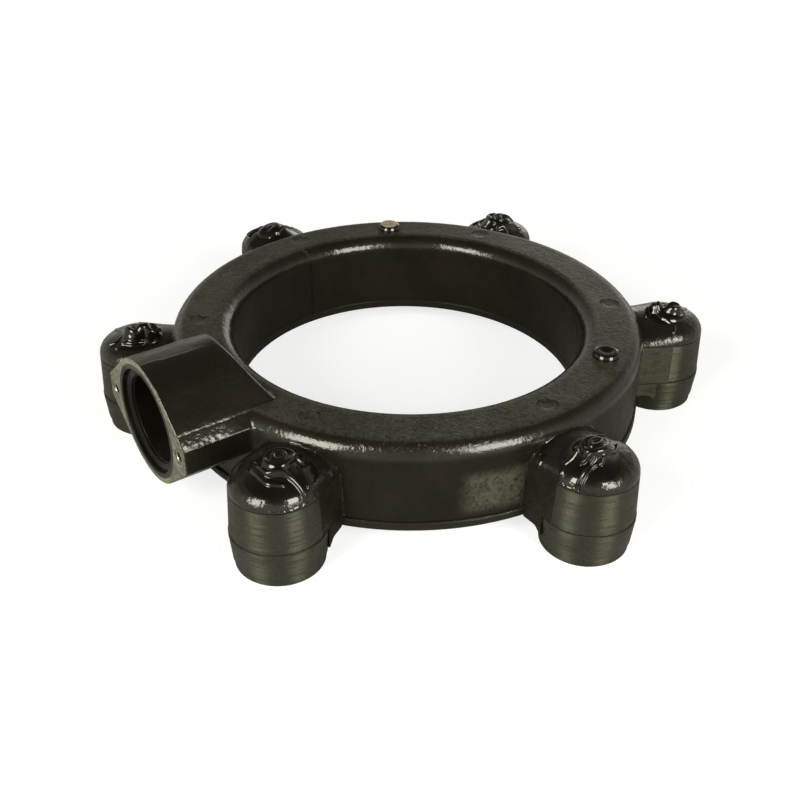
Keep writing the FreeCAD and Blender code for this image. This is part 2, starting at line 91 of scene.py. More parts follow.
class Nodes:
    # builds one material's tree
    def __init__(self, name):
        self.material = bpy.data.materials.new(name)
        self.material.use_nodes = True
        self.tree = self.material.node_tree
        self.shader = self.tree.nodes["Principled BSDF"]
        self.place = self.add("ShaderNodeTexCoord").outputs["Object"]

    def add(self, kind, **settings):
        node = self.tree.nodes.new(kind)
        for key, value in settings.items():
            setattr(node, key, value)
        return node

    def link(self, source, target):
        self.tree.links.new(source, target)

    def feed(self, socket, value):
        if hasattr(value, "is_output"):
            self.link(value, socket)
        else:
            socket.default_value = value

    def math(self, operation, first, second=0.0):
        node = self.add("ShaderNodeMath", operation=operation)
        for socket, value in zip(node.inputs, (first, second)):
            self.feed(socket, value)
        return node.outputs[0]

    def times(self, first, second):
        return self.math("MULTIPLY", first, second)

    def plus(self, first, second):
        return self.math("ADD", first, second)

    def less(self, first, second):
        return self.math("SUBTRACT", first, second)

    def without(self, share):
        return self.less(1.0, share)

    def rise(self, value, low, high):
        # 0 below low, 1 above high, smooth between
        node = self.add("ShaderNodeMapRange", interpolation_type="SMOOTHSTEP")
        self.feed(node.inputs["Value"], value)
        node.inputs["From Min"].default_value = low
        node.inputs["From Max"].default_value = high
        return node.outputs["Result"]

    def band(self, value, middle, half, soft):
        # 1 within half of the middle, fading out over soft
        away = self.math("ABSOLUTE", self.less(value, middle))
        return self.without(self.rise(away, half, half + soft))

    def noise(self, size, detail=3.0, roughness=0.5, stretch=(1, 1, 1), distortion=0.0):
        # soft noise whose blobs are about size metres across
        mapping = self.add("ShaderNodeMapping")
        mapping.inputs["Scale"].default_value = stretch
        self.link(self.place, mapping.inputs["Vector"])
        node = self.add("ShaderNodeTexNoise")
        self.link(mapping.outputs[0], node.inputs["Vector"])
        node.inputs["Scale"].default_value = 0.5 / size
        node.inputs["Detail"].default_value = detail
        node.inputs["Roughness"].default_value = roughness
        node.inputs["Distortion"].default_value = distortion
        return node.outputs["Fac"]

    def ramp(self, value, *stops):
        # each stop is a place from 0 to 1 and a colour
        node = self.add("ShaderNodeValToRGB")
        elements = node.color_ramp.elements
        while len(elements) < len(stops):
            elements.new(0.5)
        for element, (place, colour) in zip(elements, stops):
            element.position = place
            element.color = (*colour, 1)
        self.link(value, node.inputs["Fac"])
        return node.outputs["Color"]

    def mix(self, share, first, second):
        node = self.add("ShaderNodeMix", data_type="RGBA")
        self.feed(node.inputs["Factor"], share)
        for socket, value in ((node.inputs["A"], first), (node.inputs["B"], second)):
            self.feed(socket, (*value, 1) if isinstance(value, tuple) else value)
        return node.outputs["Result"]

    def blend(self, share, first, second):
        # the same for plain numbers
        node = self.add("ShaderNodeMix", data_type="FLOAT")
        for socket, value in zip(node.inputs[:4], (share, None, first, second)):
            if value is not None:
                self.feed(socket, value)
        return node.outputs["Result"]

    def bump(self, height, normal=None):
        # height in metres
        node = self.add("ShaderNodeBump")
        node.inputs["Distance"].default_value = 1.0
        self.link(height, node.inputs["Height"])
        if normal is not None:
            self.link(normal, node.inputs["Normal"])
        return node.outputs["Normal"]

    def bevel(self, radius):
        node = self.add("ShaderNodeBevel", samples=6)
        node.inputs["Radius"].default_value = radius
        return node.outputs["Normal"]

    def length(self, first, second):
        return self.math("SQRT", self.plus(self.times(first, first), self.times(second, second)))

    def split(self):
        node = self.add("ShaderNodeSeparateXYZ")
        self.link(self.place, node.inputs[0])
        return node.outputs

    def polar(self):
        # distance from the ring's axis, angle round it and height
        x, y, height = self.split()
        return self.length(x, y), self.math("ARCTAN2", y, x), height

    def nearOutlet(self):
        # the place seen from the nearest outlet's axis: how far outward, and the straight distance
        far, angle, _ = self.polar()
        step = 2 * math.pi / outletCount
        turns = self.math("ROUND", self.math("DIVIDE", angle, step))
        lean = self.less(angle, self.times(turns, step))
        outward = self.less(self.times(far, self.math("COSINE", lean)), outletRadius)
        along = self.times(far, self.math("SINE", lean))
        return outward, self.length(outward, along)

    def finish(self, colour, roughness, normal=None, metallic=0.0, gloss=0.5, coat=0.0, coatRoughness=0.05,
               tint=(1, 1, 1)):
        sockets = self.shader.inputs
        for key, value in (("Base Color", colour), ("Roughness", roughness), ("Coat Weight", coat)):
            if isinstance(value, tuple):
                value = (*value, 1)
            self.feed(sockets[key], value)
        if normal is not None:
            self.link(normal, sockets["Normal"])
            self.link(normal, sockets["Coat Normal"])
        sockets["Metallic"].default_value = metallic
        sockets["Specular IOR Level"].default_value = gloss
        sockets["Specular Tint"].default_value = (*tint, 1)
        sockets["Coat Roughness"].default_value = coatRoughness
        return self.material


coating = {
    "deep": (0.0060, 0.0051, 0.0036),      # where it lies thick
    "thin": (0.0120, 0.0100, 0.0070),
    "gap": (0.0015, 0.0015, 0.0012),       # painted shade in creases and joints
    "top": (0.0440, 0.0412, 0.0290),       # the ring's flat top: painted sheen makes it lighter than the coat elsewhere, and its grain varies it
    "topDark": (0.0150, 0.0133, 0.0094),
    "skirt": (0.0120, 0.0112, 0.0080),     # over the turned skirts and collars
    "skirtDark": (0.0050, 0.0046, 0.0032),
    "patchSize": 26 * mm,
    "grainSize": 1.5 * mm,
    "grainDepth": 0.45 * mm,               # on the ring's top
    "spotSize": 7 * mm,
    "rough": (0.26, 0.50),
    "peelSize": 2.5 * mm,                  # orange peel
    "peelDepth": 0.75 * mm,                # on the domes
    "peelOnRing": 0.55,                    # share of that depth
    "peelOnInlet": 0.35,
    "waveSize": 13 * mm,                   # slow waves under it
    "waveDepth": 0.60 * mm,
    "edge": 1.6 * mm,                      # round that the coat gives to sharp edges
    "gloss": 0.15,                         # specular level under the clear outer skin
    "tint": (1.0, 0.97, 0.74),
    "skinRoughness": 0.10,
    "roundFrom": 17 * mm,                  # below the ring's top, where its glossy round starts to thin
    "roundTo": 11 * mm,
    "domeFrom": -36 * mm,                  # outward from an outlet's axis, where its dome's skin starts
    "domeTo": -26 * mm,                    # and where it is full
    "creaseHalf": 0.4 * mm,
}
skins = {                                  # how much clear skin lies on each place; 0 is none, a dome has 1
    "wall": 0.16,
    "upperWall": 0.85,
    "top": 0.35,
    "crest": 0.4,
    "face": 0.1,
}
# painted reflections: lighter patches painted on the ring's outer wall
paintedWallReflections = {
    "colour": (0.0620, 0.0610, 0.0460),
    "places": ((-17, 4), (-82, 8)),        # angle and half spread in degrees, on the ring's wall
    "fade": 5.0,
    "low": 22 * mm,                        # heights that it lies between
    "lowFade": 12 * mm,
    "high": 60 * mm,
    "highFade": 14 * mm,
}
wrinkles = {
    "angle": -32,                          # degrees round the ring
    "halfSpread": 9,
    "fade": 14.0,
    "size": 4.5 * mm,
    "depth": 1.6 * mm,
}
inletSkin = {
    "crest": (0.0420, 0.0420, 0.0330),     # painted highlight along its crown
    "face": (0.2000, 0.2050, 0.1530),      # painted reflection: the flat face is made pale, as if it mirrored the pale floor
    "faceDark": 0.4,                       # its dark spots have this share of the colour
    "from": 230 * mm,                      # from the ring's axis, beyond it the skin is thick
    "fade": 16 * mm,
    "halfWidth": 82 * mm,
    "mouth": 52.5 * mm,
    "crestFrom": 34 * mm,                  # above the inlet's axis
    "crestTo": 46 * mm,
    "ridgeAt": 4 * mm,                     # the crest ends in a wandering ridge
    "ridgeWander": 9 * mm,
    "ridgeDepth": 0.4 * mm,
    "earFrom": 57 * mm,                    # from here out the ear's top leans over to its edge
    "earLean": 8.5,
    "waveSize": 6 * mm,
    "waveDepth": 0.7 * mm,
}
seams = {
    "lines": ((-121.3, -115.3), (-173.0, -177.8)),     # angle at the outer and at the inner edge, in degrees
    "outer": 226 * mm,
    "inner": 168 * mm,
    "halfWidth": 0.6 * mm,
    "soft": 0.5 * mm,
    "depth": 0.80 * mm,
    # share of painted shade that darkens the grooves
    "dark": 0.8,
}
# the grooves round the core plugs; dark is the share of painted shade in them
plugMarks = {"halfWidth": 0.30 * mm, "soft": 0.7 * mm, "depth": 0.6 * mm, "dark": 0.85}


def finishCoating(n, colour, rough, normal, skin, skinRoughness=coating["skinRoughness"]):
    return n.finish(colour, rough, normal, gloss=coating["gloss"], coat=skin, coatRoughness=skinRoughness,
                    tint=coating["tint"])


def paintedReflectionShare(n, far, degree, height, speckle):
    # painted reflections: dull lighter patches on the ring's outer wall
    reflectionSpots = [n.band(degree, place, spread, paintedWallReflections["fade"]) for place, spread in paintedWallReflections["places"]]
    reflectedPatches = n.math("MAXIMUM", *reflectionSpots)
    between = n.times(n.rise(height, paintedWallReflections["low"] - paintedWallReflections["lowFade"], paintedWallReflections["low"]),
                      n.without(n.rise(height, paintedWallReflections["high"] - paintedWallReflections["highFade"], paintedWallReflections["high"])))
    onWall = n.times(n.times(reflectedPatches, between), n.rise(far, ringRadius - 2 * mm, ringRadius - 1 * mm))
    return n.times(onWall, n.rise(speckle, 0.30, 0.62))


def foldRelief(n, degree, height):
    # where the coat sagged and wrinkled on the ring's outer edge
    folds = n.noise(wrinkles["size"], detail=3, distortion=1.2)
    onFolds = n.times(n.band(degree, wrinkles["angle"], wrinkles["halfSpread"], wrinkles["fade"]),
                      n.rise(height, ringTop - 10 * mm, ringTop - 2 * mm))
    return n.times(n.times(n.math("ABSOLUTE", n.less(folds, 0.5)), onFolds), wrinkles["depth"])


def inletRelief(n, x, nearCrest, fromRidge):
    # ears that lean over, ripples, and the ridge beside the crest
    over = n.math("MAXIMUM", 0.0, n.less(n.math("ABSOLUTE", x), inletSkin["earFrom"]))
    earDrop = n.times(n.times(over, over), -inletSkin["earLean"])
    ripple = n.times(n.noise(inletSkin["waveSize"], detail=2), inletSkin["waveDepth"])
    ridge = n.times(n.band(fromRidge, 0.0, 0.3 * mm, 1.4 * mm), inletSkin["ridgeDepth"])
    return n.plus(n.plus(earDrop, ripple), n.times(ridge, nearCrest))


def cutSeams(n, far, degree, relief, colour):
    # the casting's seams cross the ring's top at a slant
    for outerAngle, innerAngle in seams["lines"]:
        lean = (outerAngle - innerAngle) / (seams["outer"] - seams["inner"])
        line = n.plus(n.times(far, lean), outerAngle - lean * seams["outer"])
        offset = n.times(n.less(degree, line), math.pi / 180)
        groove = n.band(n.times(offset, far), 0.0, seams["halfWidth"], seams["soft"])
        groove = n.times(groove, n.math("LESS_THAN", far, ringRadius - 4 * mm))
        relief = n.less(relief, n.times(groove, seams["depth"]))
        # painted shade darkens the groove
        colour = n.mix(n.times(groove, seams["dark"]), colour, coating["deep"])
    return relief, colour


def outlinePlugs(n, relief, colour):
    # the coat sinks a little round each core plug
    for nodeName in nodes:
        if nodeName.startswith("core_plug"):
            low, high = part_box(nodeName)
            distance = n.add("ShaderNodeVectorMath", operation="DISTANCE")
            n.link(n.place, distance.inputs[0])
            distance.inputs[1].default_value = ((low.x + high.x) / 2, (low.y + high.y) / 2, ringTop)
            groove = n.band(distance.outputs["Value"], (high.x - low.x) / 2, plugMarks["halfWidth"],
                            plugMarks["soft"])
            relief = n.less(relief, n.times(groove, plugMarks["depth"]))
            # painted shade darkens the groove
            colour = n.mix(n.times(groove, plugMarks["dark"]), colour, coating["deep"])
    return relief, colour


def makeShellCoating():
    # one poured coat: thick and glossy on the domes and the inlet, thinner on the ring
    n = Nodes("shellCoating")
    far, angle, height = n.polar()
    x, y, _ = n.split()
    degree = n.times(angle, 180 / math.pi)
    outward, away = n.nearOutlet()

    # where on the casting, each from 0 to 1
    onTop = n.times(n.rise(height, ringTop - 1.5 * mm, ringTop - 0.1 * mm),
                    n.math("LESS_THAN", height, ringTop + 0.3 * mm))
    upper = n.rise(height, ringTop - coating["roundFrom"], ringTop - coating["roundTo"])
    onDome = n.times(n.rise(height, springHeight - 0.5 * mm, springHeight + 0.5 * mm),
                     n.rise(outward, coating["domeFrom"], coating["domeTo"]))
    # the crease between dome and skirt, where painted shade darkens the colour
    onCrease = n.times(n.band(height, springHeight - 0.5 * mm, coating["creaseHalf"], 0.5 * mm),
                       n.rise(outward, -6 * mm, 0.0))
    onCrease = n.times(onCrease, n.math("LESS_THAN", away, hoodRadius + 1 * mm))
    forward = n.rise(n.times(y, -1), inletSkin["from"] - inletSkin["fade"],
                     inletSkin["from"] + inletSkin["fade"])
    onInlet = n.times(n.math("LESS_THAN", n.math("ABSOLUTE", x), inletSkin["halfWidth"]), forward)
    fromInletAxis = n.length(x, n.less(height, inletAxis))
    inMouth = n.times(onInlet, n.math("LESS_THAN", fromInletAxis, inletSkin["mouth"]))
    onFace = n.times(n.math("LESS_THAN", y, inletFace + 0.3 * mm), n.without(inMouth))
    wander = n.times(n.noise(16 * mm, detail=3), inletSkin["ridgeWander"])
    fromRidge = n.less(n.plus(x, wander), inletSkin["ridgeAt"] + inletSkin["ridgeWander"] / 2)
    nearCrest = n.rise(height, inletAxis + inletSkin["crestFrom"], inletAxis + inletSkin["crestTo"])
    # where the painted highlight lies along the inlet's crest
    crestHighlight = n.times(n.times(onInlet, nearCrest), n.without(n.rise(fromRidge, -2 * mm, 2 * mm)))

    # colour, with painted light: sheen on the ring's top, reflections on its wall and on the inlet's face, a
    # highlight on the inlet's crest, and shade in the crease
    patches = n.noise(coating["patchSize"], detail=5, roughness=0.6)
    grain = n.noise(coating["grainSize"], detail=4, roughness=0.7)
    spots = n.noise(coating["spotSize"], detail=5)
    colour = n.ramp(n.plus(n.times(patches, 0.6), n.times(grain, 0.4)),
                    (0.38, coating["deep"]), (0.64, coating["thin"]))
    topGrain = n.plus(n.times(grain, 0.65), n.times(patches, 0.35))
    # painted sheen on the ring's flat top, mottled by its grain
    colour = n.mix(onTop, colour, n.mix(n.rise(topGrain, 0.38, 0.62), coating["topDark"], coating["top"]))
    speckle = n.plus(n.times(grain, 0.6), n.times(spots, 0.4))
    # painted reflections on the ring's outer wall
    colour = n.mix(paintedReflectionShare(n, far, degree, height, speckle), colour, paintedWallReflections["colour"])
    colour = n.mix(n.times(onInlet, 0.8), colour, coating["deep"])
    # painted highlight along the inlet's crest
    colour = n.mix(crestHighlight, colour, inletSkin["crest"])
    # painted reflection on the inlet's flat face, mottled by grain
    darkFaceReflection = tuple(inletSkin["faceDark"] * part for part in inletSkin["face"])
    colour = n.mix(onFace, colour, n.mix(n.rise(topGrain, 0.42, 0.58), inletSkin["face"], darkFaceReflection))
    # painted shade in the crease
    colour = n.mix(onCrease, colour, coating["gap"])

    # the clear skin over it
    skin = n.blend(upper, n.blend(spots, 0.0, skins["wall"]), skins["upperWall"])
    skin = n.blend(onTop, skin, n.blend(spots, 0.0, skins["top"]))
    skin = n.blend(onDome, skin, 1.0)
    skin = n.blend(onInlet, skin, 1.0)
    skin = n.blend(crestHighlight, skin, skins["crest"])
    skin = n.blend(n.math("MAXIMUM", inMouth, onFace), skin, skins["face"])
    skin = n.blend(onCrease, skin, 0.0)
    rough = n.blend(spots, *coating["rough"])

    # relief
    peelDepth = coating["peelDepth"]
    peelDepth = n.blend(onInlet, n.blend(onDome, coating["peelOnRing"] * peelDepth, peelDepth),
                        coating["peelOnInlet"] * peelDepth)
    peel = n.times(n.noise(coating["peelSize"], detail=3, roughness=0.55), peelDepth)
    wave = n.times(n.noise(coating["waveSize"], detail=1.5), coating["waveDepth"])
    relief = n.plus(n.plus(peel, wave), foldRelief(n, degree, height))
    relief = n.plus(relief, n.times(n.times(grain, onTop), coating["grainDepth"]))
    relief = n.plus(relief, n.times(onInlet, inletRelief(n, x, nearCrest, fromRidge)))
    relief, colour = cutSeams(n, far, degree, relief, colour)
    relief, colour = outlinePlugs(n, relief, colour)
    return finishCoating(n, colour, rough, n.bump(relief, n.bevel(coating["edge"])), skin)


poured = {
    "thick": (0.003, 0.003, 0.0025),
    "patchSize": 8 * mm,
    "waveSize": 3.5 * mm,
    "waveDepth": 0.12 * mm,
    "grainSize": 1.4 * mm,
    "grainDepth": 0.03 * mm,
    "rough": (0.16, 0.3),
    "skinRoughness": 0.04,
}


def makePouredCoating():
    # the knots and beads: as thick as the coat gets, with little orange peel
    n = Nodes("pouredCoating")
    patches = n.noise(poured["patchSize"], detail=3)
    colour = n.ramp(patches, (0.35, poured["thick"]), (0.7, coating["deep"]))
    relief = n.plus(n.times(n.noise(poured["waveSize"], detail=2), poured["waveDepth"]),
                    n.times(n.noise(poured["grainSize"], detail=2), poured["grainDepth"]))
    return finishCoating(n, colour, n.blend(patches, *poured["rough"]), n.bump(relief), 1.0,
                         poured["skinRoughness"])


turning = {
    "lineSize": 1.1 * mm,
    "lineDepth": 0.12 * mm,
    "smearSize": 9 * mm,
    "grainSize": 1.4 * mm,
    "grainDepth": 0.16 * mm,
    "rough": 0.37,
    "roughSpread": 0.12,
    "gloss": 0.85,
    "neckGloss": 0.42,
    "neckMottle": 0.22,
    "joint": 14.0 * mm,                    # where a collar meets its skirt
    "edge": 0.6 * mm,
    "stretched": 0.9,                      # the turning marks stretch highlights up and down
}


def makeTurnedCoating(name, gloss, mottle):
    # satin over fine turning marks, on the skirts and collars; mottled and duller on the necks' sides
    n = Nodes(name)
    lines = n.noise(turning["lineSize"], detail=3, roughness=0.7, stretch=(0.05, 0.05, 1))
    smears = n.noise(turning["smearSize"], detail=5, roughness=0.6)
    grain = n.noise(turning["grainSize"], detail=3, roughness=0.7)
    colour = n.ramp(n.plus(n.times(smears, 0.5), n.times(grain, 0.5)),
                    (0.36, coating["skirtDark"]), (0.62, coating["skirt"]))
    height = n.split()[2]
    # the joint under each skirt and the crease above it, both darkened with painted shade
    joint = n.math("MAXIMUM", n.band(height, turning["joint"], 0.5 * mm, 0.5 * mm),
                   n.band(height, springHeight - 0.4 * mm, 0.3 * mm, 0.4 * mm))
    colour = n.mix(joint, colour, coating["gap"])
    rough = n.plus(n.blend(grain, turning["rough"] + turning["roughSpread"],
                           turning["rough"] - turning["roughSpread"]),
                   n.blend(n.rise(lines, 0.3, 0.7), 0.14, -0.10))
    rough = n.plus(rough, n.times(n.rise(smears, 0.40, 0.56), mottle))
    rough = n.blend(joint, rough, 1.0)
    relief = n.plus(n.times(lines, turning["lineDepth"]), n.times(grain, turning["grainDepth"]))
    around = n.add("ShaderNodeVectorMath", operation="CROSS_PRODUCT")
    around.inputs[0].default_value = (0, 0, 1)
    n.link(n.add("ShaderNodeNewGeometry").outputs["Normal"], around.inputs[1])
    n.link(around.outputs[0], n.shader.inputs["Tangent"])
    n.shader.inputs["Anisotropic"].default_value = turning["stretched"]
    n.shader.inputs["Anisotropic Rotation"].default_value = 0.25     # a quarter turn, from around to upright
    return n.finish(colour, rough, n.bump(relief, n.bevel(turning["edge"])), gloss=gloss,
                    tint=coating["tint"])


baseSkin = {
    "lineSize": 1.1 * mm,
    "lineDepth": 0.20 * mm,
    "patchSize": 14 * mm,
    "peelSize": 3 * mm,
    "peelDepth": 0.30 * mm,
    "rough": (0.42, 0.3),
    "edge": 0.8 * mm,
    "skin": 0.2,
}


def makeBaseCoating():
    # the base ring: the ring's coat, a little lighter and level-lined along its rim
    n = Nodes("baseCoating")
    lines = n.noise(baseSkin["lineSize"], detail=3, roughness=0.6, stretch=(0.05, 0.05, 1))
    patches = n.noise(baseSkin["patchSize"], detail=5, stretch=(1, 1, 2))
    colour = n.ramp(patches, (0.34, coating["thin"]), (0.64, coating["skirt"]))
    relief = n.plus(n.times(lines, baseSkin["lineDepth"]),
                    n.times(n.noise(baseSkin["peelSize"], detail=3), baseSkin["peelDepth"]))
    return finishCoating(n, colour, n.blend(patches, *baseSkin["rough"]),
                         n.bump(relief, n.bevel(baseSkin["edge"])), baseSkin["skin"])


plugSkin = {
    "bloomSize": 4 * mm,
    "bloomDepth": 0.10 * mm,
    "peelSize": 2 * mm,
    "peelDepth": 0.12 * mm,
    "rough": (0.30, 0.5),
    "edge": 0.7 * mm,
    "skin": 0.25,
}


def makePlugCoating():
    # the core plugs: thin coat with a worn bloom; its lighter end is the ring top's colour, painted sheen
    # included
    n = Nodes("plugCoating")
    bloom = n.noise(plugSkin["bloomSize"], detail=6, roughness=0.65)
    colour = n.ramp(bloom, (0.36, coating["thin"]), (0.62, coating["top"]))
    relief = n.plus(n.times(n.noise(plugSkin["peelSize"], detail=3), plugSkin["peelDepth"]),
                    n.times(bloom, plugSkin["bloomDepth"]))
    return finishCoating(n, colour, n.blend(bloom, *plugSkin["rough"]),
                         n.bump(relief, n.bevel(plugSkin["edge"])), plugSkin["skin"])


dullBrass = {
    "dark": (0.16, 0.125, 0.075),
    "plain": (0.44, 0.38, 0.26),
    "bright": (0.62, 0.56, 0.42),
    "stainSize": 2.2 * mm,
    "rough": (0.75, 0.2),
    "grainSize": 1.2 * mm,
    "grainDepth": 0.12 * mm,
    "edge": 0.4 * mm,
    "metallic": 0.5,                       # half of it lies under tarnish
}


def makeBrass():
    n = Nodes("dullBrass")
    stain = n.noise(dullBrass["stainSize"], detail=6, roughness=0.65)
    colour = n.ramp(stain, (0.3, dullBrass["dark"]), (0.5, dullBrass["plain"]), (0.7, dullBrass["bright"]))
    relief = n.times(n.noise(dullBrass["grainSize"], detail=4), dullBrass["grainDepth"])
    return n.finish(colour, n.blend(stain, *dullBrass["rough"]), n.bump(relief, n.bevel(dullBrass["edge"])),
                    metallic=dullBrass["metallic"])


rubber = {
    "shade": (1, 0.95, 0.85),
    "bloomShade": (1.7, 1.6, 1.45),
    "bloomSize": 7 * mm,
    "roughSpread": 0.15,
    "grainSize": 1.5 * mm,
    "grainDepth": 0.03 * mm,
    "edge": 0.4 * mm,
}


def makeRubber(name, tone, rough, gloss):
    n = Nodes(name)
    bloom = n.noise(rubber["bloomSize"], detail=5)
    colour = n.ramp(bloom, (0.3, tuple(tone * part for part in rubber["shade"])),
                    (0.7, tuple(tone * part for part in rubber["bloomShade"])))
    relief = n.times(n.noise(rubber["grainSize"], detail=3), rubber["grainDepth"])
    return n.finish(colour, n.blend(bloom, rough, rough + rubber["roughSpread"]),
                    n.bump(relief, n.bevel(rubber["edge"])), gloss=gloss)


wornSteel = {
    "dark": (0.22, 0.2, 0.17),
    "bright": (0.55, 0.53, 0.48),
    "wearSize": 1.6 * mm,
    "rough": (0.5, 0.16),
    "grainSize": 0.8 * mm,
    "grainDepth": 0.05 * mm,
    "edge": 0.3 * mm,
}


def makeSteel():
    n = Nodes("wornInsert")
    wear = n.noise(wornSteel["wearSize"], detail=5)
    colour = n.ramp(wear, (0.3, wornSteel["dark"]), (0.65, wornSteel["bright"]))
    relief = n.times(n.noise(wornSteel["grainSize"], detail=3), wornSteel["grainDepth"])
    return n.finish(colour, n.blend(wear, *wornSteel["rough"]), n.bump(relief, n.bevel(wornSteel["edge"])),
                    metallic=1.0)


shellCoat = makeShellCoating()
pouredCoat = makePouredCoating()
turnedCoat = makeTurnedCoating("turnedCoating", turning["gloss"], 0.0)
neckCoat = makeTurnedCoating("neckCoating", turning["neckGloss"], turning["neckMottle"])
baseCoat = makeBaseCoating()
plugCoat = makePlugCoating()
brass = makeBrass()
sealRubber = makeRubber("sealRubber", 0.012, 0.42, 0.5)
mouthRubber = makeRubber("mouthRubber", 0.004, 0.16, 0.16)
insertSteel = makeSteel()
print("materials made")


def dress(node, material):
    node.data.materials.clear()
    node.data.materials.append(material)


def isSkirt(distance):
    # from an outlet's axis, or sideways from the plane through it
    return creaseRadius - 1 * mm < distance < hoodRadius + 0.3 * mm


def dressSkirts(node, skirtMaterial, neckMaterial):
    # the shell's upright faces below the crease, round an outlet's axis and at the sides of its neck
    node.data.materials.append(skirtMaterial)
    node.data.materials.append(neckMaterial)
    step = 2 * math.pi / outletCount
    for face in node.data.polygons:
        place = face.center
        lean = math.remainder(math.atan2(place.y, place.x), step)
        far = math.hypot(place.x, place.y)
        outward, along = far * math.cos(lean) - outletRadius, far * math.sin(lean)
        out = math.atan2(place.y, place.x) - lean
        beside = (face.normal.y * math.cos(out) - face.normal.x * math.sin(out)) * math.copysign(1, along)
        onCurve = outward > -1 * mm and isSkirt(math.hypot(outward, along))
        onNeck = outward <= -1 * mm and far > ringRadius - 2 * mm and beside > 0.97 and isSkirt(abs(along))
        if (onCurve or onNeck) and place.z < springHeight and abs(face.normal.z) < 0.3:
            face.material_index = 1 if onCurve else 2


for nodeName, node in nodes.items():
    if nodeName.startswith("outlet_collar"):
        dress(node, turnedCoat)
    elif nodeName.startswith("core_plug"):
        dress(node, plugCoat)
    elif nodeName.startswith("test_boss"):
        dress(node, pouredCoat)
    elif nodeName.startswith("inlet_insert"):
        dress(node, insertSteel)
dress(nodes["manifold_shell"], shellCoat)
dressSkirts(nodes["manifold_shell"], turnedCoat, neckCoat)
dress(nodes["base_ring"], baseCoat)
dress(nodes["crown_knots"], pouredCoat)
dress(nodes["outlet_seals"], sealRubber)
dress(nodes["inlet_seal"], mouthRubber)
dress(nodes["test_plug_1"], brass)
dress(nodes["test_plug_2"], pouredCoat)
print("nodes dressed")


# knots of hardened coating on the domes, each a sheet that rises out of the dome in mounds and ridges

knots = {
    "step": 0.45 * mm,            # between the sheet's points
    "reach": 40.5 * mm,
    "sink": 0.14 * mm,            # how far the sheet's edge lies inside the dome
    "castFrom": 120 * mm,         # height from which the dome below is looked for
    "domeDrop": 8 * mm,           # below the crease, the lowest place that still counts as dome
    "evenPasses": 10,
    "centreDrop": 25 * mm,        # below the crease, the point that the sheet rises away from
    "sample": 0.4 * mm,           # between points along a ridge
    "swell": 0.18,                # share that a ridge's width changes by along its way
    "swellTurn": 9,               # radians of that wave from end to end
    "endWidth": 0.55,             # share of its width that a ridge keeps at its ends
    "endSlope": 4.5,              # how fast it reaches its full height from there
    "endPower": 0.9,
    "ridgePower": 0.85,           # of a ridge's section: lower is rounder
    "moundPower": 1.6,            # higher is flatter on top
    "moundFall": 1.2,             # higher is narrower
    "crossing": 0.25,             # share of the lower ridge that is added where two cross
}

